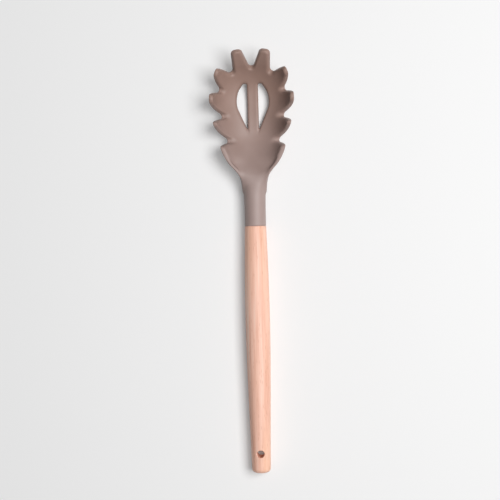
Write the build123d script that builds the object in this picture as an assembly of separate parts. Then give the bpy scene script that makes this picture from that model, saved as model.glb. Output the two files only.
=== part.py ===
from build123d import *
import itertools
import math
import os

# Pasta server: a toothed silicone bowl moulded over a rigid nylon core, glued into a turned beech handle.
# Millimetres. The tool lies on its back: +Y points to the head, +X is its right side, +Z is up.
# The origin lies under the middle of the tool, on the surface that it rests on.

os.makedirs("parts", exist_ok=True)

# Overall sizes
head_length = 139.0
handle_length = 196.0
handle_diameter = 19.5
bowl_width = 66.8
bowl_height = 28.0

# Places that follow from them
overall_length = head_length + handle_length
joint_y = handle_length - overall_length / 2
butt_y = -overall_length / 2
tip_y = overall_length / 2
axis_z = handle_diameter / 2
bowl_half_width = bowl_width / 2

# Bowl: walls, and the curved front. Its underside leans by front_lean degrees at the tip and ends there
# at a share of bowl_height.
floor_wall = 4.6
rim_wall = 3.4
front_sweep_radius = 42.0
front_lean = 45.0
front_end_share = 0.896
ramp_start_share = 0.543
ramp_end_share = 0.227
ramp_top_clearance = 0.3

# The sweep starts where the lean then brings it to its end's height at the tip.
lean_angle = math.radians(front_lean)
sweep_rise = front_sweep_radius * (1 - math.cos(lean_angle))
sweep_end_y = tip_y - (front_end_share * bowl_height - sweep_rise) / math.tan(lean_angle)
sweep_start_y = sweep_end_y - front_sweep_radius * math.sin(lean_angle)

# Bowl sections: place along the head, half width, height of the widest line, depth of the dish.
# The first is a share of head_length, the second of bowl_half_width, the others of bowl_height.
bowl_section_shares = [
    (0.198, 0.255, 0.36, 0.05),
    (0.270, 0.312, 0.50, 0.06),
    (0.313, 0.428, 0.64, 0.09),
    (0.356, 0.588, 0.77, 0.18),
    (0.406, 0.716, 0.87, 0.54),
    (0.486, 0.820, 0.95, 0.71),
    (0.586, 0.925, 1.01, 0.90),
    (0.701, 1.000, 1.02, 0.90),
    (0.759, 0.988, 1.03, 0.85),
    (0.817, 0.945, 1.08, 0.78),
    (0.874, 0.868, 1.17, 0.67),
    (0.932, 0.783, 1.28, 0.50),
    (1.000, 0.693, 1.42, 0.29),
    (1.040, 0.650, 1.50, 0.22),
]

# Rim line seen from the side: place along the head and height, from the neck to the last tines.
rim_line_shares = [
    (0.150, 0.30),
    (0.230, 0.48),
    (0.270, 0.61),
    (0.313, 0.69),
    (0.370, 0.75),
    (0.428, 0.80),
    (0.486, 0.88),
    (0.543, 0.96),
    (0.601, 0.99),
    (0.709, 1.00),
    (0.817, 1.00),
    (0.935, 1.00),
]
front_tine_top_share = 1.14
front_tine_end_rise = 1.0

# Gaps between the tines: place across, place along, height of the seat, then in degrees the heading
# from straight ahead, the flare towards the tip and the flare towards the handle. The middle gap comes
# first, and the others are mirrored.
gap_seat_shares = [
    (0.000, 0.906, 0.540, 0.0, 19.0, 19.0),
    (0.468, 0.879, 0.530, 33.0, 20.0, 23.5),
    (0.692, 0.774, 0.490, 72.0, 24.5, 17.5),
    (0.635, 0.633, 0.390, 88.0, 23.0, 15.0),
    (0.524, 0.493, 0.350, 87.0, 24.5, 17.0),
]
gap_seat_radius = 2.4
gap_front_tilt = 25.0
gap_reach_in = 9.0
gap_reach_out = 26.0
gap_height = 40.0

# Rounded corners of the tines' ends: they lie above a share of bowl_height, and their edges run within
# corner_edge_spread degrees of the nearest gap's heading. The radius leaves room on the narrowest end.
tine_corner_radius = 2.2
corner_room_share = 0.38
corner_line_share = 0.7
corner_edge_spread = 32.0

# Drain slots: the bar between them, and the right one's corners as shares of its width and length,
# each with its rounding
bar_width = 8.9
slot_width = 10.9
slot_length = 36.9
slot_foot_share = 0.555
slot_corner_shares = [(0.00, 0.00), (0.00, 1.00), (0.27, 1.00), (1.00, 0.68)]
slot_corner_radii = [0.5, 1.5, 1.8, 8.0]

# Neck: place along the head, and how far its width and height have grown to the root's
neck_end_diameter = 16.9
neck_root_width = 21.6
neck_height = 16.8
neck_root_height = 15.6
root_overlap = 0.5
neck_section_shares = [
    (0.000, 0.00, 0.00),
    (0.120, 0.06, 0.00),
    (0.205, 0.34, 0.10),
    (0.300, 1.00, 1.00),
]

# Core inside the silicone, and its tang in the handle
skin = 1.2
rim_skin = 1.8
neck_skin = 2.9
tang_diameter = 9.4
tang_length = 48.0
tang_groove_count = 5
tang_groove_width = 2.0
tang_groove_depth = 0.7
tang_groove_pitch = 8.0
socket_diameter = 10.4
socket_depth = 50.0

# Handle: place from the joint to the butt and radius, as shares of handle_length and half the diameter
handle_profile_shares = [
    (0.000, 0.877),
    (0.060, 0.905),
    (0.140, 0.950),
    (0.240, 0.983),
    (0.360, 1.000),
    (0.500, 0.985),
    (0.620, 0.942),
    (0.740, 0.882),
    (0.860, 0.824),
    (0.985, 0.768),
]
butt_corner_radius = 3.2
mouth_chamfer = 0.35
hang_hole_diameter = 5.8
hang_hole_from_end = 15.5
hang_hole_rounding = 0.5

# Overrun of cutting tools
overrun = 30.0


def along(share):
    """Place on the tool of a share of the head's length."""
    return joint_y + share * head_length


def smooth(value):
    """Ease from 0 to 1 with no corner at either end."""
    held = min(max(value, 0), 1)
    return held * held * (3 - 2 * held)


def front_slope(y):
    """Angle of the bowl's underside at y, in radians."""
    run = max(y - sweep_start_y, 0)
    if run >= sweep_end_y - sweep_start_y:
        return lean_angle
    return math.asin(run / front_sweep_radius)


def keel_z(y):
    """Lowest point of the underside at y: the neck's, then the bowl's flat, then the front sweep."""
    neck_keel = axis_z - neck_height / 2 + root_overlap
    ramp = (along(ramp_start_share) - y) / (along(ramp_start_share) - along(ramp_end_share))
    rise = front_sweep_radius * (1 - math.cos(front_slope(y)))
    straight = max(y - sweep_end_y, 0) * math.tan(lean_angle)
    return neck_keel * smooth(ramp) + rise + straight


def floor_z(y):
    """Lowest point of the dish at y: the wall above the underside, then a ramp up to the neck's top."""
    ramp = (along(ramp_start_share) - y) / (along(ramp_start_share) - along(ramp_end_share))
    neck_top = axis_z + neck_height / 2 + ramp_top_clearance
    level = keel_z(y) + floor_wall / math.cos(front_slope(y))
    return level + (neck_top - level) * smooth(ramp)


def trough_section(y, half_width, bottom, spring, top):
    """Closed section across the tool: half an ellipse below, upright walls above."""
    section_plane = Plane(origin=(0, y, 0), x_dir=(1, 0, 0), z_dir=(0, -1, 0))
    with BuildSketch(section_plane) as sketch:
        with BuildLine():
            EllipticalCenterArc((0, spring), half_width, spring - bottom, start_angle=180, arc_size=180)
            Polyline((half_width, spring), (half_width, top), (-half_width, top), (-half_width, spring))
        make_face()
    return sketch.sketch


def trough(inset, dish):
    """Solid above the underside, or above the dish, with its faces moved inwards by inset."""
    sections = []
    top = bowl_height + overrun
    for place, width, spring, depth in bowl_section_shares:
        y = along(place)
        half_width = width * bowl_half_width - inset
        bottom = keel_z(y) + inset / math.cos(front_slope(y))
        widest = spring * bowl_height
        if dish:
            half_width = width * bowl_half_width - rim_wall + inset
            bottom = floor_z(y) - inset / math.cos(front_slope(y))
            widest = bottom + depth * bowl_height
        sections.append(trough_section(y, half_width, bottom, widest, top))
    return loft(sections)


def neck(inset):
    """Oval neck from the joint into the root of the bowl."""
    sections = []
    for place, widening, flattening in neck_section_shares:
        width = neck_end_diameter + widening * (neck_root_width - neck_end_diameter)
        height = neck_height + flattening * (neck_root_height - neck_height)
        section_plane = Plane(origin=(0, along(place), axis_z), x_dir=(1, 0, 0), z_dir=(0, -1, 0))
        sections.append(section_plane * Ellipse(width / 2 - inset, height / 2 - inset))
    return loft(sections)


def gap_heading(seat):
    """Unit vector along a gap, outwards."""
    turn = math.radians(seat[3])
    tilt = math.radians(gap_front_tilt) * math.cos(turn) ** 2
    return Vector(math.sin(turn) * math.cos(tilt), math.cos(turn) * math.cos(tilt), -math.sin(tilt))


def gap_cutter(seat, inset):
    """Tapered U that opens one gap, laid through the wall along the gap's heading."""
    across, place, height, heading, tip_flare, handle_flare = seat
    turn = math.radians(heading)
    centre = Vector(across * bowl_half_width, along(place), height * bowl_height)
    outward = gap_heading(seat)
    sideways = Vector(-math.cos(turn), math.sin(turn), 0)
    profile_plane = Plane(origin=centre - outward * gap_reach_in, x_dir=sideways, z_dir=outward)
    spread = gap_height * math.tan(math.radians(tip_flare + handle_flare) / 2)
    roll = math.radians(tip_flare - handle_flare) / 2
    rise = gap_height * math.cos(roll)
    with BuildSketch(profile_plane) as sketch:
        with Locations((0, gap_seat_radius)):
            Circle(gap_seat_radius + inset)
        with Locations((gap_height * math.sin(roll), gap_seat_radius + rise)):
            Circle(gap_seat_radius + inset + spread)
        make_hull()
    return extrude(sketch.sketch, gap_reach_in + gap_reach_out)


def tine_block(inset):
    """Block that the wall is trimmed to: the rim line and the tines' ends, with the gaps taken out."""
    end_z = keel_z(tip_y) + front_tine_end_rise
    end_y = tip_y - inset * math.cos(lean_angle)
    top_z = bowl_height * front_tine_top_share - inset
    end_top_y = end_y - (top_z - end_z) * math.tan(lean_angle)
    rim = [(along(place), height * bowl_height - inset) for place, height in rim_line_shares]
    first_y = rim[0][0]
    with BuildSketch(Plane.YZ) as sketch:
        with BuildLine():
            Spline(rim)
            Polyline(
                rim[-1],
                (rim[-1][0], top_z),
                (end_top_y, top_z),
                (end_y + overrun * math.tan(lean_angle), end_z - overrun),
                (first_y, end_z - overrun),
                (first_y, rim[0][1]),
            )
        make_face()
    half = extrude(sketch.sketch, bowl_half_width + overrun)
    for seat in gap_seat_shares:
        half = half - gap_cutter(seat, inset)
    return half + mirror(half, Plane.YZ)


def is_tine_corner(edge):
    """True for an edge that crosses the wall at a corner of a tine's end."""
    middle = edge.center()
    direction = edge.tangent_at(0.5)
    if middle.Z < corner_line_share * bowl_height:
        return False
    for seat in gap_seat_shares:
        heading = gap_heading(seat)
        for side in (1, -1):
            mirrored = Vector(side * heading.X, heading.Y, heading.Z)
            seat_point = Vector(side * seat[0] * bowl_half_width, along(seat[1]), middle.Z)
            near = (middle - seat_point).length < bowl_half_width / 2
            if near and abs(direction.dot(mirrored)) > math.cos(math.radians(corner_edge_spread)):
                return True
    return False


def drain_slots(inset):
    """The two mirrored drain slots, as upright cutters widened by inset."""
    foot_y = along(slot_foot_share)
    corners = [(bar_width / 2 + x * slot_width, foot_y + y * slot_length) for x, y in slot_corner_shares]
    outline = Polygon(*corners, align=None)
    for corner, radius in zip(corners, slot_corner_radii):
        vertex = outline.vertices().sort_by_distance((corner[0], corner[1], 0))[0]
        outline = fillet(vertex, radius)
    if inset > 0:
        outline = offset(outline, inset)
    right = extrude(outline, overrun, both=True)
    return right + mirror(right, Plane.YZ)


def head_form(wall_inset, rim_inset, neck_inset):
    """The bowl with its tines, slots and neck, with every face moved inwards by the given insets."""
    bowl = trough(wall_inset, False) & tine_block(rim_inset)
    body = bowl + neck(neck_inset)
    return body - trough(wall_inset, True) - drain_slots(wall_inset)


def bar_along_y(diameter, length):
    """Round bar on the handle's axis, from the joint towards the butt."""
    return Location((0, joint_y - length / 2, axis_z), (90, 0, 0)) * Cylinder(diameter / 2, length)


def make_core():
    """Rigid insert: the inset bowl and neck, and the tang with its adhesive grooves."""
    tang = bar_along_y(tang_diameter, tang_length)
    ring = Cylinder(tang_diameter, tang_groove_width)
    ring = ring - Cylinder(tang_diameter / 2 - tang_groove_depth, tang_groove_width)
    for index in range(tang_groove_count):
        y = joint_y - (index + 1) * tang_groove_pitch
        tang = tang - Location((0, y, axis_z), (90, 0, 0)) * ring
    return head_form(skin, rim_skin, neck_skin) + tang


def make_silicone_head(core):
    """Silicone skin: the full bowl and neck with rounded tine ends, moulded round the core."""
    head = head_form(0, 0, 0)
    corners = [edge for edge in head.edges() if is_tine_corner(edge)]
    pairs = itertools.combinations([edge.center() for edge in corners], 2)
    narrowest = min((one - other).length for one, other in pairs)
    radius = min(tine_corner_radius, corner_room_share * narrowest)
    return fillet(corners, radius) - core


def make_handle():
    """Turned handle with its socket and its hanging hole."""
    profile = [
        (radius * handle_diameter / 2, joint_y - place * handle_length)
        for place, radius in handle_profile_shares
    ]
    with BuildSketch() as sketch:
        with BuildLine():
            Spline(profile)
            Polyline(profile[-1], (profile[-1][0], butt_y), (0, butt_y), (0, joint_y), profile[0])
        make_face()
    turned = revolve(sketch.sketch, Axis.Y)
    butt_edge = turned.edges().sort_by(Axis.Y)[0]
    turned = fillet(butt_edge, butt_corner_radius)
    mouth_edge = turned.edges().sort_by(Axis.Y)[-1]
    turned = Location((0, 0, axis_z)) * chamfer(mouth_edge, mouth_chamfer)
    hole_place = Location((0, butt_y + hang_hole_from_end, axis_z))
    hole = hole_place * Cylinder(hang_hole_diameter / 2, handle_diameter + overrun)
    drilled = turned - hole
    hole_edges = new_edges(turned, hole, combined=drilled).filter_by(GeomType.LINE, reverse=True)
    drilled = fillet(hole_edges, hang_hole_rounding)
    return drilled - bar_along_y(socket_diameter, socket_depth)


def make_tang_adhesive(core):
    """Epoxy that fills the socket round the tang and its grooves."""
    return bar_along_y(socket_diameter, socket_depth) - core


core = make_core()
export_step(make_silicone_head(core), "parts/silicone_head.step")
export_step(core, "parts/core.step")
export_step(make_handle(), "parts/handle.step")
export_step(make_tang_adhesive(core), "parts/tang_adhesive.step")
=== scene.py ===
# %% [markdown]
# Pasta server, lying on its back on a pale table. The real thing is a toothed silicone bowl, moulded
# over a stiff nylon core whose tang is glued into a turned beech handle. This lesson dresses the packed
# solids: it keeps the handle, the core and the glue, and sculpts the silicone again, because a mould
# leaves every edge of it soft and the solid's edges are sharp.

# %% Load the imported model
import bpy
import math
import numpy as np
from mathutils import Matrix, Vector


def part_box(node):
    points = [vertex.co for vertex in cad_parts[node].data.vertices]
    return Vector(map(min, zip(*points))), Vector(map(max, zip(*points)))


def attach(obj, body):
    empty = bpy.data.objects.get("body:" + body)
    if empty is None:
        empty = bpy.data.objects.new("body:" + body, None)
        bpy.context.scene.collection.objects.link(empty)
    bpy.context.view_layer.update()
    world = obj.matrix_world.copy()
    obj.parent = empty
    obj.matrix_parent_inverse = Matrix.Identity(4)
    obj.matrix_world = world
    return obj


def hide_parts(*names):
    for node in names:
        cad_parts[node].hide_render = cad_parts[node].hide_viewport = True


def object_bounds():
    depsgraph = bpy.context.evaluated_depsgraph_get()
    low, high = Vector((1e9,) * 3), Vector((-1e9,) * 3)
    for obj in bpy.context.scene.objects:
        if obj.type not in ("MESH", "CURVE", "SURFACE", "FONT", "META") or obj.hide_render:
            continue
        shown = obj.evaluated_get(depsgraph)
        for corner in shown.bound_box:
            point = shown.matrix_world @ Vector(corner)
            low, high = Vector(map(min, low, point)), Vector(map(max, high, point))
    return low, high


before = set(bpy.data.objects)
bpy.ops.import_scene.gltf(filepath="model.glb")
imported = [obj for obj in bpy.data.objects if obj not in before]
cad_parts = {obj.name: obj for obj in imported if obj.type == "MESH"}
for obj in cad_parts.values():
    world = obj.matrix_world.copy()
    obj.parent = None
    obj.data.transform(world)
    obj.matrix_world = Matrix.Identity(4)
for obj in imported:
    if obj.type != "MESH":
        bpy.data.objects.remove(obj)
cad_box = [list(corner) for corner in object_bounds()]
MM = 0.001
print("pieces in the frame:", sorted(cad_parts))
print("box of the solids, mm:", [[round(v / MM, 1) for v in corner] for corner in cad_box])

# %% [markdown]
# The photograph looks almost straight down. A camera could be fitted to marked points, but a tool that
# lies flat gives few of them. So it hangs 0.9 m above the table, a little to the tool's right, and is
# turned until the tool leans slightly to the left in the frame. A long lens keeps the handle and the
# bowl at nearly the same scale.

# %% Camera
IMAGE_SIDE = 500
FLOOR_SPAN = 0.4024
CAMERA_HEIGHT = 0.9
CAMERA_SIDE = 0.045
AIM = Vector((-0.00535, 0.00965, 0.0))
LEAN = math.radians(1.42)
SENSOR = 36.0


def look(place, target, upward):
    """Matrix of something at place that looks at target, with upward towards the top of its view."""
    forward = (target - place).normalized()
    right = forward.cross(upward).normalized()
    top = right.cross(forward)
    turn = Matrix((right, top, -forward)).transposed().to_4x4()
    return Matrix.Translation(place) @ turn


camera_data = bpy.data.cameras.new("camera")
camera_data.sensor_width = SENSOR
camera_data.lens = SENSOR * CAMERA_HEIGHT / FLOOR_SPAN
camera = bpy.data.objects.new("camera", camera_data)
bpy.context.scene.collection.objects.link(camera)
camera.matrix_world = look(
    AIM + Vector((CAMERA_SIDE, 0, CAMERA_HEIGHT)), AIM, Vector((math.sin(LEAN), math.cos(LEAN), 0))
)
bpy.context.scene.camera = camera
print("lens, mm:", round(camera_data.lens, 1))
print("pixels per mm on the table:", round(IMAGE_SIDE * MM / FLOOR_SPAN, 3))

# %% [markdown]
# A moulded shape with soft edges could be a subdivision cage, but nine gaps in a curved wall make a
# messy cage. A distance field is calmer: every point of a fine grid stores how far it lies from a
# surface, negative inside. Two fields are combined with a minimum or a maximum, and a rounded maximum
# gives the soft edge that the mould leaves. The grid covers one half, because the tool is symmetric.

# %% A grid of points round the head, in millimetres
GRID_STEP = 0.5
HALF_REACH = 36.0
LOW_MARGIN = 3.2
FRONT_MARGIN = 4.0
TOP_MARGIN = 8.0
HEAD_LENGTH = 139.0
HALF_WIDTH = 33.4
BOWL_HEIGHT = 28.0
AXIS_Z = 9.75
JOINT_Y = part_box("silicone_head")[0].y / MM
TIP_Y = JOINT_Y + HEAD_LENGTH

grid_x = np.arange(0, HALF_REACH, GRID_STEP)
grid_y = np.arange(JOINT_Y - LOW_MARGIN, TIP_Y + FRONT_MARGIN, GRID_STEP)
grid_z = np.arange(-LOW_MARGIN, BOWL_HEIGHT + TOP_MARGIN, GRID_STEP)
X, Y, Z = np.meshgrid(grid_x, grid_y, grid_z, indexing="ij", sparse=True)
print("grid points in one half:", len(grid_x) * len(grid_y) * len(grid_z))

# %% [markdown]
# A bowl like this is drawn to the length of its head, so every place on it is a share of that length:
# 0 where the neck leaves the handle, 1 at the tips. Lengths in millimetres would do as well, but with
# shares the whole bowl can be made longer by one number. Tables of a few places become smooth curves.


# %% Places and smooth curves along the head
def along(share):
    """Place on the tool of a share of the head's length."""
    return JOINT_Y + np.asarray(share) * HEAD_LENGTH


def smooth(value):
    """Ease from 0 to 1 with no corner at either end."""
    held = np.clip(value, 0, 1)
    return held * held * (3 - 2 * held)


def ease(start_share, end_share):
    """0 up to the first place along the head, 1 from the second on, eased between them."""
    start, end = along((start_share, end_share))
    return smooth((Y - start) / (end - start))


def curve(rows, column, scale):
    """Smooth curve through one column of a table whose first column is the place along the head."""
    table = np.array(rows)
    places, values = along(table[:, 0]), table[:, column] * scale
    slopes = np.gradient(values, places)
    y = np.clip(grid_y, places[0], places[-1])
    span = np.clip(np.searchsorted(places, y) - 1, 0, len(places) - 2)
    # a cubic between each two rows, with the slope that the table has there
    width = places[span + 1] - places[span]
    t = (y - places[span]) / width
    start = (1 + 2 * t) * (1 - t) ** 2 * values[span] + t * (1 - t) ** 2 * width * slopes[span]
    end = t * t * (3 - 2 * t) * values[span + 1] + t * t * (t - 1) * width * slopes[span + 1]
    return (start + end)[None, :, None]


print("head from y =", round(float(along(0)), 2), "to", round(float(along(1)), 2), "mm")

# %% [markdown]
# Wherever two faces of the silicone meet, the mould has left a small radius. Blender's bevel could
# round them afterwards, but it needs clean edges and stumbles where three of them run together. Here
# the rounding is part of putting two fields together, with a radius of its own each time.

# %% Combining fields
SLOPE_FLOOR = 0.02


def even(field):
    """The same surface, with values that are close to true distances near it."""
    field = np.broadcast_to(field, (len(grid_x), len(grid_y), len(grid_z)))
    slope = np.sqrt(sum(part * part for part in np.gradient(field, GRID_STEP)))
    return field / np.maximum(slope, SLOPE_FLOOR)


def meet(one, other, radius):
    """Where both are solid, with the edge between them rounded."""
    outside = np.hypot(np.maximum(one + radius, 0), np.maximum(other + radius, 0))
    return np.minimum(-radius, np.maximum(one, other)) + outside


def join(one, other, radius):
    """Where either is solid, with the corner between them filled."""
    return -meet(-one, -other, radius)


def soften(one, other, width):
    """Where both are solid, with a blend that stays shallow where the surfaces are nearly parallel."""
    near = np.maximum(width - abs(one - other), 0)
    return np.maximum(one, other) + near * near / (4 * width)


print("a 2 mm rounding takes", round(float(meet(0.0, 0.0, 2.0)), 2), "mm off a square edge")

# %% [markdown]
# The bowl is a trough. Seen from the side, its underside is the neck's, then flat, then a curve that
# leans 45 degrees at the tips. The dish inside has its own floor, which ramps up to the top of the neck
# and lifts a little more there, so that it leaves the neck whole. It could be drawn as a spline, but
# these few lengths keep the floor's thickness right along the whole curve.

# %% Side profile of the bowl
FLOOR_WALL = 4.6
SWEEP_RADIUS = 42.0
FRONT_LEAN = math.radians(45.0)
FRONT_END_SHARE = 0.896
RAMP_SHARES = (0.543, 0.227)
RAMP_TOP_CLEARANCE = 0.3
NECK_HEIGHT = 16.8
ROOT_OVERLAP = 0.5
LIFT_SHARE = 0.28
LIFT = 0.012

sweep_rise = SWEEP_RADIUS * (1 - math.cos(FRONT_LEAN))
sweep_run = SWEEP_RADIUS * math.sin(FRONT_LEAN)
sweep_end_y = TIP_Y - (FRONT_END_SHARE * BOWL_HEIGHT - sweep_rise) / math.tan(FRONT_LEAN)
sweep_start_y = sweep_end_y - sweep_run
lean = np.arcsin(np.clip(Y - sweep_start_y, 0, sweep_run) / SWEEP_RADIUS)
straight = np.maximum(Y - sweep_end_y, 0) * math.tan(FRONT_LEAN)
ramp = ease(*RAMP_SHARES)
keel = (AXIS_Z - NECK_HEIGHT / 2 + ROOT_OVERLAP) * ramp + SWEEP_RADIUS * (1 - np.cos(lean)) + straight
dish_floor = keel + FLOOR_WALL / np.cos(lean)
dish_floor = dish_floor + (AXIS_Z + NECK_HEIGHT / 2 + RAMP_TOP_CLEARANCE - dish_floor) * ramp
dish_floor = dish_floor + LIFT * np.maximum(along(LIFT_SHARE) - Y, 0) ** 2
print("underside rises to", round(float(keel[0, np.argmin(abs(grid_y - TIP_Y)), 0]), 1), "mm at the tips")

# %% [markdown]
# Each section across the bowl is half an ellipse with upright walls above it. Modelling them one by one
# and bridging them would need the same number of points in each, while a short table of widths and
# heights can be smoothed along the head, and the field reads it directly.

# %% Sections across the bowl
# place along the head, half width, height of the widest line, depth of the dish
SECTION_SHARES = [
    (0.198, 0.255, 0.36, 0.05),
    (0.270, 0.312, 0.50, 0.06),
    (0.313, 0.428, 0.64, 0.09),
    (0.356, 0.588, 0.77, 0.18),
    (0.406, 0.716, 0.87, 0.54),
    (0.486, 0.820, 0.95, 0.71),
    (0.586, 0.925, 1.01, 0.90),
    (0.701, 1.000, 1.02, 0.90),
    (0.759, 0.988, 1.03, 0.85),
    (0.817, 0.945, 1.08, 0.78),
    (0.874, 0.868, 1.17, 0.67),
    (0.932, 0.783, 1.28, 0.50),
    (1.000, 0.693, 1.42, 0.29),
    (1.040, 0.650, 1.50, 0.22),
]
RIM_WALL = 3.4
LEAST_DROP = 0.5


def trough(half_width, bottom, widest):
    """Field of everything above a trough's surface."""
    drop = np.minimum(Z - widest, 0) / np.maximum(widest - bottom, LEAST_DROP)
    return even(np.sqrt((X / half_width) ** 2 + drop * drop) - 1)


half_width = curve(SECTION_SHARES, 1, HALF_WIDTH)
outer = trough(half_width, keel, curve(SECTION_SHARES, 2, BOWL_HEIGHT))
dish = trough(half_width - RIM_WALL, dish_floor, dish_floor + curve(SECTION_SHARES, 3, BOWL_HEIGHT))
print("widest section, mm:", round(2 * float(half_width.max()), 1))

# %% [markdown]
# The wall is trimmed by a block: a rim line seen from the side, with a step up to the front tines, and a
# slanting plane across their tips. Cutting a finished mesh would leave sharp edges to bevel by hand.
# Here the block is another field, and the edge between it and the wall is rounded when they meet.

# %% Rim line and tips
RIM_SHARES = [
    (0.150, 0.30),
    (0.230, 0.48),
    (0.270, 0.61),
    (0.313, 0.69),
    (0.370, 0.75),
    (0.428, 0.80),
    (0.486, 0.88),
    (0.543, 0.96),
    (0.601, 0.99),
    (0.709, 1.00),
    (0.817, 1.00),
    (0.935, 1.00),
]
FRONT_TOP_SHARE = 1.14
FRONT_STEP_SHARES = (0.925, 0.955)
TIP_RISE = 1.0
TIP_EDGE = 1.5

front_step = (FRONT_TOP_SHARE - 1) * BOWL_HEIGHT * ease(*FRONT_STEP_SHARES)
rim_z = curve(RIM_SHARES, 1, BOWL_HEIGHT) + front_step
tip_z = FRONT_END_SHARE * BOWL_HEIGHT + TIP_RISE
tips = (Y - TIP_Y) * math.cos(FRONT_LEAN) + (Z - tip_z) * math.sin(FRONT_LEAN)
block = meet(even(Z - rim_z), tips, TIP_EDGE)
print("heights of the rim line, mm:", [round(float(height), 1) for height in (rim_z.min(), rim_z.max())])

# %% [markdown]
# Nine gaps leave eight tines and two low shoulders. On the real bowl each gap is a rounded U that widens
# upwards, so strands slip in and stay. The gaps could be modelled as nine cutters, but five fields are
# enough: the mirror gives the other side for free. Each has a seat, a heading and two leaning flanks,
# and the tines on its two sides have corners of their own.

# %% Gaps between the tines
# place across, place along, height of the seat, then in degrees: heading, lean of the flank towards
# the tip, lean of the flank towards the handle
GAP_SHARES = [
    (0.000, 0.906, 0.540, 0.0, 19.0, 19.0),
    (0.468, 0.879, 0.530, 33.0, 20.0, 23.5),
    (0.692, 0.774, 0.490, 72.0, 24.5, 17.5),
    (0.635, 0.633, 0.390, 88.0, 23.0, 15.0),
    (0.524, 0.493, 0.350, 87.0, 24.5, 17.0),
]
# rounding of the tine on each gap's handle side and on its tip side
TINE_CORNERS = [(2.4, 2.4), (1.8, 3.4), (1.8, 2.2), (1.8, 2.2), (2.6, 2.2)]
print("gaps in the whole bowl:", 2 * len(GAP_SHARES) - 1)

# %% Cut the gaps
SEAT_RADIUS = 2.4
FRONT_TILT = math.radians(25.0)
REACH_IN = 9.0
ROOT_EDGE = 1.0
CORNER_CHANGE = 4.0


def gap(seat_share, place, height, heading, tip_flare, handle_flare):
    """Field of one tapered U, pushed out along its heading, and the share of its tip side."""
    turn = math.radians(heading)
    tilt = FRONT_TILT * math.cos(turn) ** 2
    outward = (math.sin(turn) * math.cos(tilt), math.cos(turn) * math.cos(tilt), -math.sin(tilt))
    sideways = (-math.cos(turn), math.sin(turn), 0)
    upward = np.cross(outward, sideways)
    upward = upward * np.sign(upward[2])
    centre = (seat_share * HALF_WIDTH, along(place), height * BOWL_HEIGHT) + upward * SEAT_RADIUS
    roll = math.radians(tip_flare - handle_flare) / 2
    across = np.multiply(sideways, math.cos(roll)) - upward * math.sin(roll)
    away = np.multiply(sideways, math.sin(roll)) + upward * math.cos(roll)
    tipward, up, out = (
        (X - centre[0]) * way[0] + (Y - centre[1]) * way[1] + (Z - centre[2]) * way[2]
        for way in (across, away, outward)
    )
    # a circle that grows as it rises has flanks that lean by the angle whose sine is its growth
    side = abs(tipward)
    sine = math.tan(math.radians(tip_flare + handle_flare) / 2)
    cosine = math.sqrt(1 - sine * sine)
    flank = side * cosine - up * sine
    u_shape = np.where(up * cosine + side * sine < 0, np.hypot(side, up), flank) - SEAT_RADIUS
    return meet(u_shape, -REACH_IN - out, ROOT_EDGE), smooth(tipward / CORNER_CHANGE + 0.5)


for row, (handle_corner, tip_corner) in zip(GAP_SHARES, TINE_CORNERS):
    opening, tip_side = gap(*row)
    block = meet(block, -opening, handle_corner + (tip_corner - handle_corner) * tip_side)
print("share of the block left:", round(float((block < 0).mean()), 3))

# %% [markdown]
# Two drain slots let the water out and leave a straight bar between them. Their outline is four
# straight sides with corners of different radii. A curve with bevelled corners would do as a cutter,
# but the half planes of its sides meet with the same rounding rule as everything else here.

# %% Drain slots
BAR_WIDTH = 8.9
SLOT_WIDTH = 10.9
SLOT_LENGTH = 36.9
SLOT_FOOT_SHARE = 0.555
SLOT_CORNER_SHARES = [(0.00, 0.00), (0.00, 1.00), (0.27, 1.00), (1.00, 0.68)]
SLOT_CORNER_RADII = [0.9, 1.5, 8.0]


def right_of(start, end):
    """Field of the half plane to the right of the line from start to end."""
    run = np.subtract(end, start)
    length = math.hypot(*run)
    return ((Y - start[1]) * run[0] - (X - start[0]) * run[1]) / length


foot_y = float(along(SLOT_FOOT_SHARE))
slot_corners = [(BAR_WIDTH / 2 + a * SLOT_WIDTH, foot_y + b * SLOT_LENGTH) for a, b in SLOT_CORNER_SHARES]
sides = [right_of(start, end) for start, end in zip(slot_corners, slot_corners[1:] + slot_corners[:1])]
foot_radius, bar_radius, wall_radius = SLOT_CORNER_RADII
slot = meet(meet(sides[0], sides[1], bar_radius), meet(sides[2], sides[3], wall_radius), foot_radius)
print("right slot, corners in mm:", [(round(x, 1), round(y, 1)) for x, y in slot_corners])

# %% [markdown]
# The neck is an oval rod of silicone, as thick as the handle's mouth where they meet, that spreads into
# the root of the bowl. A bevelled curve makes such a rod, but it would have to be stitched to the bowl.
# As a field it melts into the bowl, with the fillet that the mould has there.

# %% Neck
NECK_WIDTH = 16.9
NECK_ROOT_WIDTH = 21.6
NECK_ROOT_HEIGHT = 15.6
# place along the head, growth to the root's width, growth to the root's height
NECK_SHARES = [
    (0.000, 0.00, 0.00),
    (0.120, 0.03, 0.00),
    (0.205, 0.22, 0.10),
    (0.300, 1.00, 1.00),
]
NECK_END_SHARE = 0.36
NECK_BLEND = 3.0
JOINT_EDGE = 0.4

neck_half_width = NECK_WIDTH / 2 + curve(NECK_SHARES, 1, (NECK_ROOT_WIDTH - NECK_WIDTH) / 2)
neck_half_height = NECK_HEIGHT / 2 + curve(NECK_SHARES, 2, (NECK_ROOT_HEIGHT - NECK_HEIGHT) / 2)
neck = even(np.sqrt((X / neck_half_width) ** 2 + ((Z - AXIS_Z) / neck_half_height) ** 2) - 1)
neck = meet(neck, Y - along(NECK_END_SHARE), NECK_BLEND)
neck = meet(neck, JOINT_Y - Y, JOINT_EDGE)
print("neck, mm:", NECK_WIDTH, "wide at the joint,", NECK_ROOT_WIDTH, "in the bowl")

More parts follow.
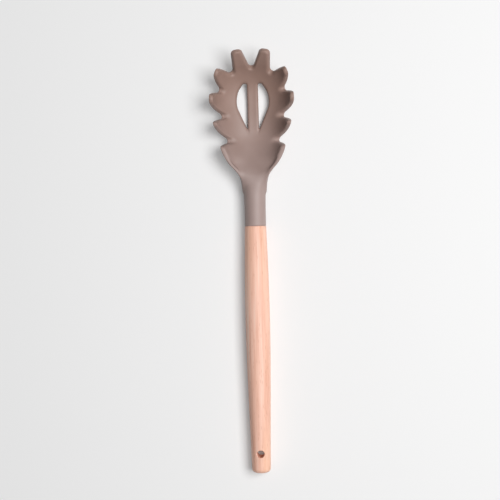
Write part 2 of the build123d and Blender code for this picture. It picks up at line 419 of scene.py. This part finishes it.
# %% [markdown]
# The order matters. The wall meets the block first, then the neck joins it, and only then the dish and
# the slots are taken out, so that the neck doesn't fill the bowl. The dish's edge is softer towards the
# handle, where the bowl runs out flat, and a rounding for square edges would eat into the neck there.

# %% Put the head together
OUTER_EDGE = 0.7
INNER_EDGE = 1.6
REAR_EDGE = 1.4
REAR_SHARES = (0.40, 0.25)
SLOT_EDGE = 1.8

head = meet(outer, block, OUTER_EDGE)
head = meet(head, along(SECTION_SHARES[0][0]) - Y, OUTER_EDGE)
head = join(head, neck, NECK_BLEND)
head = soften(head, -dish, INNER_EDGE + REAR_EDGE * ease(*REAR_SHARES))
head = meet(head, -slot, SLOT_EDGE)
# the other half is the same one turned round, without the middle layer a second time
head = np.concatenate([head[:0:-1], head])
HEAD_ORIGIN = np.array([-grid_x[-1], grid_y[0], grid_z[0]])
MM3_PER_CM3 = 1000
print("head and core together, cm3:", round(float((head < 0).sum()) * GRID_STEP**3 / MM3_PER_CM3, 1))


# %% [markdown]
# A field becomes a mesh where it changes sign. Blender's volume tools could do it, but they hide how.
# Each grid cell that the surface crosses gets one vertex, at the mean of the places where its edges
# cross, and each crossed edge gets one four-sided face.

# %% From a field to quads
def skin(field):
    """Vertices in grid units, and quads, of the surface where the field is zero."""
    cells = np.array(field.shape) - 1
    total, count, quads = np.zeros((cells.prod(), 3)), np.zeros(cells.prod()), []
    for axis in range(3):
        low = field.take(range(field.shape[axis] - 1), axis)
        high = field.take(range(1, field.shape[axis]), axis)
        edges = np.argwhere((low < 0) != (high < 0))
        start, end = low[tuple(edges.T)], high[tuple(edges.T)]
        points = edges.astype(float)
        points[:, axis] += start / (start - end)
        # the four cells round each crossed edge, in the order of the face's corners
        ring = []
        for u, v in ((0, 0), (-1, 0), (-1, -1), (0, -1)):
            cell = edges.copy()
            cell[:, (axis + 1) % 3] += u
            cell[:, (axis + 2) % 3] += v
            ring.append(np.ravel_multi_index(cell.T, cells))
        ring = np.stack(ring, axis=1)
        # faces look out of the solid, so those that leave it the other way are turned over
        ring[start > 0] = ring[start > 0][:, ::-1]
        quads.append(ring)
        flat = ring.ravel()
        count += np.bincount(flat, minlength=len(count))
        for part in range(3):
            total[:, part] += np.bincount(flat, np.repeat(points[:, part], 4), minlength=len(count))
    used, quads = np.unique(np.concatenate(quads), return_inverse=True)
    return total[used] / count[used, None], quads.reshape(-1, 4)


points, quads = skin(head)
print("surface of the head:", len(points), "vertices,", len(quads), "quads")

# %% [markdown]
# Those vertices sit a little unevenly, which shows as ripples in the shine. A smoothing modifier would
# also shrink the tines. So each vertex moves half way to the mean of its neighbours and is then pulled
# back onto the surface, a few times over, which leaves a calm quad mesh of the same size.

# %% Spread the vertices
SETTLE_ROUNDS = 3
HALF_CELL = 0.5


def sample(field, points):
    """Field at points given in grid units, blended from the eight grid points round each."""
    low = np.clip(points.astype(int), 0, np.array(field.shape) - 2)
    t = points - low
    value = 0
    for corner in np.ndindex(2, 2, 2):
        share = np.prod(np.where(corner, t, 1 - t), axis=1)
        value = value + share * field[tuple((low + corner).T)]
    return value


def settle(field, points, quads, rounds):
    """Vertices spread evenly over the surface."""
    ring = np.concatenate([quads, quads[:, ::-1]])
    here, there = ring.ravel(), np.roll(ring, 1, axis=1).ravel()
    number = np.bincount(here, minlength=len(points))[:, None]
    for _ in range(rounds):
        mean = np.stack([np.bincount(here, points[there, k], len(points)) for k in range(3)], 1) / number
        points = (points + mean) / 2
        steps = np.eye(3) * HALF_CELL
        slope = np.stack([sample(field, points + step) - sample(field, points - step) for step in steps], 1)
        points = points - slope * (sample(field, points) / np.sum(slope * slope, axis=1))[:, None]
    return points


points = settle(head, points, quads, SETTLE_ROUNDS)
print("furthest from the surface, mm:", round(float(abs(sample(head, points)).max()), 3))

# %% [markdown]
# The skin goes into the scene as one piece, because the real one is one moulding. It could be split
# into bowl and neck, but there is no seam to hide. It stands for the sharp-edged solid and rides on the
# tool's one body.

# %% Silicone skin
skin_mesh = bpy.data.meshes.new("silicone_skin")
skin_mesh.from_pydata(((HEAD_ORIGIN + points * GRID_STEP) * MM).tolist(), [], quads.tolist())
skin_mesh.shade_smooth()
silicone_skin = bpy.data.objects.new("silicone_skin", skin_mesh)
bpy.context.scene.collection.objects.link(silicone_skin)
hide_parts("silicone_head")
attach(silicone_skin, "root")
print("silicone skin, mm:", [round(side / MM, 1) for side in silicone_skin.dimensions])

# %% [markdown]
# A few helpers for the finishes. Nodes could be placed and wired one line at a time, but a material then
# fills a page. With these, a node is one line: its kind, what goes into its sockets, and its settings.


# %% Helpers for nodes
def node_maker(tree):
    """Function that adds a node to a tree, with its settings and inputs."""

    def node(kind, inputs=None, **settings):
        made = tree.nodes.new("ShaderNode" + kind)
        for key, value in settings.items():
            setattr(made, key, value)
        for key, value in (inputs or {}).items():
            if isinstance(value, bpy.types.NodeSocket):
                tree.links.new(value, made.inputs[key])
            else:
                made.inputs[key].default_value = value
        return made

    return node


def new_material(name):
    """Empty node material, its node maker and the place on the piece."""
    material = bpy.data.materials.new(name)
    material.use_nodes = True
    material.node_tree.nodes.clear()
    node = node_maker(material.node_tree)
    return material, node, node("TexCoord").outputs["Object"]


def close(node, shader):
    """Material output of a shader."""
    node("OutputMaterial", {"Surface": shader.outputs[0]})


print("materials of the solids:", [material.name for material in bpy.data.materials])


# %% Helpers for colours
def tinted(node, value, stops):
    """Colour of a ramp over a value, from its stops: places and colours."""
    made = node("ValToRGB", {"Fac": value})
    line = made.color_ramp
    while len(line.elements) < len(stops):
        line.elements.new(1.0)
    for element, (place, colour) in zip(line.elements, stops):
        element.position = place
        element.color = (*colour, 1.0)
    return made.outputs["Color"]


def mixed(node, share, first, second):
    """Colour between two colours, by a share of the second."""
    return node("Mix", {"Factor": share, 6: first, 7: second}, data_type="RGBA").outputs[2]


def dress(node_name, material):
    """Give a kept solid its finish."""
    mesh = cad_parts[node_name].data
    mesh.materials.clear()
    mesh.materials.append(material)


print("solids to dress:", [name for name in sorted(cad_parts) if name != "silicone_head"])

# %% [markdown]
# Silicone is a satin rubber: a soft broad shine and a faint tooth from the blasted mould. Its colour is
# painted lighter and greyer at the neck, as a painted sheen, and darker and browner towards the tines, as a
# painted shade, and it varies a little over centimetres. A flat colour with some gloss would look like
# paint, so a slow noise tints it, a very fine one gives the tooth, and a touch of sheen keeps its edges
# chalky.

# %% Silicone
# Painted light: the neck tints are lighter and greyer as a painted sheen, the tine tints darker and browner
# as a painted shade.
NECK_TINTS_PAINTED_SHEEN = [(0.3, (0.322, 0.232, 0.208)), (0.7, (0.388, 0.292, 0.270))]
TINE_TINTS_PAINTED_SHADE = [(0.3, (0.277, 0.175, 0.141)), (0.7, (0.335, 0.221, 0.184))]
PAINTED_SHADE_PLACES = {"From Min": 0.055, "From Max": 0.150}
SATIN = {"To Min": 0.50, "To Max": 0.58}
CLOUD = {"Scale": 28.0, "Detail": 3.0, "Roughness": 0.5}
TOOTH = {"Scale": 1600.0, "Detail": 2.0, "Roughness": 0.6}
TOOTH_BUMP = {"Strength": 0.12, "Distance": 0.0001}
RUBBER = {"IOR": 1.5, "Sheen Weight": 0.12, "Sheen Roughness": 0.4}

silicone, node, place = new_material("silicone")
cloud = node("TexNoise", {"Vector": place, **CLOUD}).outputs["Fac"]
tooth = node("TexNoise", {"Vector": place, **TOOTH}).outputs["Fac"]
far = node("SeparateXYZ", {0: place}).outputs["Y"]
# Painted shade along the head: the lighter neck tints give way to the darker tine tints between these
# places.
painted_shade_share = node("MapRange", {"Value": far, **PAINTED_SHADE_PLACES}, interpolation_type="SMOOTHSTEP").outputs["Result"]
taupe_and_painted_light = mixed(node, painted_shade_share, tinted(node, cloud, NECK_TINTS_PAINTED_SHEEN), tinted(node, cloud, TINE_TINTS_PAINTED_SHADE))
satin = node("MapRange", {"Value": cloud, **SATIN}).outputs["Result"]
bump = node("Bump", {"Height": tooth, **TOOTH_BUMP}).outputs["Normal"]
rubber = node("BsdfPrincipled", {"Base Color": taupe_and_painted_light, "Roughness": satin, "Normal": bump, **RUBBER})
close(node, rubber)
silicone_skin.data.materials.append(silicone)
print("silicone nodes:", len(silicone.node_tree.nodes))

# %% [markdown]
# The handle is turned from one stick of beech and oiled. Beech is a pale pink brown with fine streaks
# along the stick and short darker flecks. A picture of wood would show its pixels and its joins, and a
# wave pattern looks like pine. So noise is stretched along the stick for the streaks, cells are
# stretched less for the flecks, and in some places a broad noise turns the wood towards honey.

# %% Beech: grain
WOOD_TINTS = [(0.36, (0.780, 0.405, 0.285)), (0.50, (0.930, 0.562, 0.435)), (0.64, (0.955, 0.680, 0.565))]
STREAKS = {"Scale": 420.0, "Detail": 4.0, "Roughness": 0.62}
STREAK_STRETCH = 0.035
BROAD = {"Scale": 90.0, "Detail": 2.0}
BROAD_STRETCH = 0.06
BROAD_SHARE = 0.45


def stretched(node, place, stretch):
    """Place with the stick's length drawn together, so that a pattern on it is drawn out."""
    return node("Mapping", {"Vector": place, "Scale": (1.0, stretch, 1.0)}).outputs[0]


beech, node, place = new_material("beech")
streaks = node("TexNoise", {"Vector": stretched(node, place, STREAK_STRETCH), **STREAKS}).outputs["Fac"]
broad = node("TexNoise", {"Vector": stretched(node, place, BROAD_STRETCH), **BROAD}).outputs["Fac"]
grain = node("Mix", {"Factor": BROAD_SHARE, 2: streaks, 3: broad}).outputs[0]
wood = tinted(node, grain, WOOD_TINTS)
print("a streak is about", round(1 / (STREAKS["Scale"] * STREAK_STRETCH * MM)), "mm long")

# %% Beech: honey places and flecks
HONEY = (0.930, 0.560, 0.370, 1.0)
WARM = {"Scale": 60.0, "Detail": 2.0}
WARM_STRETCH = 0.12
WARM_RANGE = {"From Min": 0.45, "From Max": 0.70, "To Max": 0.55}
FLECK = (0.62, 0.290, 0.180, 1.0)
FLECKS = {"Scale": 900.0, "Randomness": 1.0}
FLECK_STRETCH = 0.11
FLECK_RANGE = {"From Min": 0.10, "From Max": 0.22, "To Min": 0.55, "To Max": 0.0}

warm = node("TexNoise", {"Vector": stretched(node, place, WARM_STRETCH), **WARM}).outputs["Fac"]
warmth = node("MapRange", {"Value": warm, **WARM_RANGE}).outputs["Result"]
flecks = node("TexVoronoi", {"Vector": stretched(node, place, FLECK_STRETCH), **FLECKS}).outputs["Distance"]
fleck_share = node("MapRange", {"Value": flecks, **FLECK_RANGE}).outputs["Result"]
wood = mixed(node, fleck_share, mixed(node, warmth, wood, HONEY), FLECK)
print("a fleck's cell is", round(1 / (FLECKS["Scale"] * MM), 1), "mm wide")

# %% Beech: oiled surface
OILED = {"To Min": 0.40, "To Max": 0.56}
GRAIN_BUMP = {"Strength": 0.18, "Distance": 0.0002}
WOOD_IOR = 1.45

oiled = node("MapRange", {"Value": streaks, **OILED}).outputs["Result"]
bump = node("Bump", {"Height": streaks, **GRAIN_BUMP}).outputs["Normal"]
surface = {"Base Color": wood, "Roughness": oiled, "Normal": bump, "IOR": WOOD_IOR}
close(node, node("BsdfPrincipled", surface))
dress("handle", beech)
print("beech nodes:", len(beech.node_tree.nodes))

# %% [markdown]
# Nobody sees the core or the glue until the tool is cut open, but they are real pieces and they travel
# with it. The core is black moulded nylon, the glue a yellowish cured epoxy. A flat colour could pass
# there. A fine mottle with a slight bump costs little and holds up in a cut view.

# %% Hidden pieces
MOTTLE_DETAIL = 3.0
MOTTLE_ENDS = (0.35, 0.65)
MOTTLE_BUMP = {"Strength": 0.1, "Distance": 0.0001}
NYLON = {"dark": (0.012, 0.011, 0.011), "light": (0.020, 0.018, 0.018), "rough": 0.5, "scale": 700.0}
EPOXY = {"dark": (0.55, 0.47, 0.30), "light": (0.62, 0.54, 0.36), "rough": 0.3, "scale": 250.0}


def moulded(name, dark, light, rough, scale):
    """Plain moulded material with a fine mottle."""
    material, node, place = new_material(name)
    mottle = node("TexNoise", {"Vector": place, "Scale": scale, "Detail": MOTTLE_DETAIL}).outputs["Fac"]
    tint = tinted(node, mottle, list(zip(MOTTLE_ENDS, (dark, light))))
    bump = node("Bump", {"Height": mottle, **MOTTLE_BUMP}).outputs["Normal"]
    close(node, node("BsdfPrincipled", {"Base Color": tint, "Roughness": rough, "Normal": bump}))
    return material


dress("core", moulded("nylon", **NYLON))
dress("tang_adhesive", moulded("epoxy", **EPOXY))
print("materials:", [material.name for material in bpy.data.materials])

# %% [markdown]
# The tool lies on white card. A sheet of card could be folded up behind it, but the picture looks
# straight down, so one flat sheet does, as high as the tool's lowest point.

# %% Table
CARD_REACH = 3.0

card_corners = [(x * CARD_REACH, y * CARD_REACH, 0) for x, y in ((-1, -1), (1, -1), (1, 1), (-1, 1))]
card_mesh = bpy.data.meshes.new("table")
card_mesh.from_pydata(card_corners, [], [(0, 1, 2, 3)])
table = bpy.data.objects.new("table", card_mesh)
bpy.context.scene.collection.objects.link(table)
table.location.z = cad_box[0][2]
print("table at", round(table.location.z / MM, 2), "mm")

# %% [markdown]
# Card shades softly, with hardly any shine. The camera sees it a little lighter than it is lit, through
# a pale veil, which keeps the shadows soft as they are on paper near a window. The veil thins out close
# to the tool, so that the dark line of contact stays, and far from the tool it turns to white. More
# light would whiten the card too, but it would bleach the wood.

# %% White card
CARD = {"Base Color": (0.880, 0.880, 0.880, 1.0), "Roughness": 0.9, "Specular IOR Level": 0.2}
VEIL_SHARE = 0.30
VEIL_LEVEL = 0.87
CONTACT_REACH = 0.006
CONTACT_POWER = 1.5
CONTACT_SAMPLES = 8
FADE = {"From Min": 0.30, "From Max": 0.85}
WHITE = (1.0, 1.0, 1.0, 1.0)

card, node, place = new_material("white_card")
fade = {"Value": node("VectorMath", {0: place}, operation="LENGTH").outputs["Value"], **FADE}
level = node("MapRange", {**fade, "To Min": VEIL_LEVEL, "To Max": 1.0}, interpolation_type="SMOOTHSTEP")
share = node("MapRange", {**fade, "To Min": VEIL_SHARE, "To Max": 1.0}, interpolation_type="SMOOTHSTEP")
veil = node("Emission", {"Color": WHITE, "Strength": level.outputs["Result"]})
seen = node("LightPath").outputs["Is Camera Ray"]
open_air = node("AmbientOcclusion", {"Distance": CONTACT_REACH}, samples=CONTACT_SAMPLES).outputs["AO"]
contact = node("Math", {0: open_air, 1: CONTACT_POWER}, operation="POWER")
kept = node("Math", {0: contact.outputs[0], 1: share.outputs["Result"]}, operation="MULTIPLY")
blend = node("Math", {0: seen, 1: kept.outputs[0]}, operation="MULTIPLY")
matt = node("BsdfPrincipled", CARD)
close(node, node("MixShader", {0: blend.outputs[0], 1: matt.outputs[0], 2: veil.outputs[0]}))
card_mesh.materials.append(card)
print("veil over the card:", VEIL_SHARE, "near the tool, 1 beyond", FADE["From Max"], "m")

# %% [markdown]
# One window to the right, high up and a little towards the bowl's end, makes the soft shadows on the
# left. A bare sun would cut them hard, and two lamps would double them, so it is a single wide area
# lamp at an everyday level.

# %% Window light
WINDOW_PLACE = Vector((0.62, 0.10, 1.32))
WINDOW_SIZE = (0.7, 0.9)
WINDOW_POWER = 22.2

window_data = bpy.data.lights.new("window", "AREA")
window_data.shape = "RECTANGLE"
window_data.size, window_data.size_y = WINDOW_SIZE
window_data.energy = WINDOW_POWER
window = bpy.data.objects.new("window", window_data)
bpy.context.scene.collection.objects.link(window)
window.matrix_world = look(WINDOW_PLACE, Vector((0, 0, 0)), Vector((0, 1, 0)))
print("window height above the table, m:", round(WINDOW_PLACE.z, 2))

# %% [markdown]
# The rest of the light is the room: bright overhead and nearly dark at the horizon, so the walls of the
# bowl shade one another. An even dome would flatten them. The camera itself sees plain white.

# %% Room light
ROOM_TOP = 0.36
ROOM_EDGE = 0.01
ROOM_FALL = 4.0

world = bpy.data.worlds.new("room")
world.use_nodes = True
world.node_tree.nodes.clear()
node = node_maker(world.node_tree)
height = node("SeparateXYZ", {0: node("TexCoord").outputs["Generated"]}).outputs["Z"]
fall = node("Math", {0: node("Clamp", {"Value": height}).outputs[0], 1: ROOM_FALL}, operation="POWER")
glow = node("MapRange", {"Value": fall.outputs[0], "To Min": ROOM_EDGE, "To Max": ROOM_TOP})
seen = node("LightPath").outputs["Is Camera Ray"]
strength = node("Mix", {0: seen, 2: glow.outputs["Result"], 3: 1.0})
back = node("Background", {"Color": WHITE, "Strength": strength.outputs[0]})
node("OutputWorld", {"Surface": back.outputs[0]})
bpy.context.scene.world = world
bpy.context.scene.view_settings.view_transform = "Standard"
print("room light from", ROOM_EDGE, "at the horizon to", ROOM_TOP, "overhead")
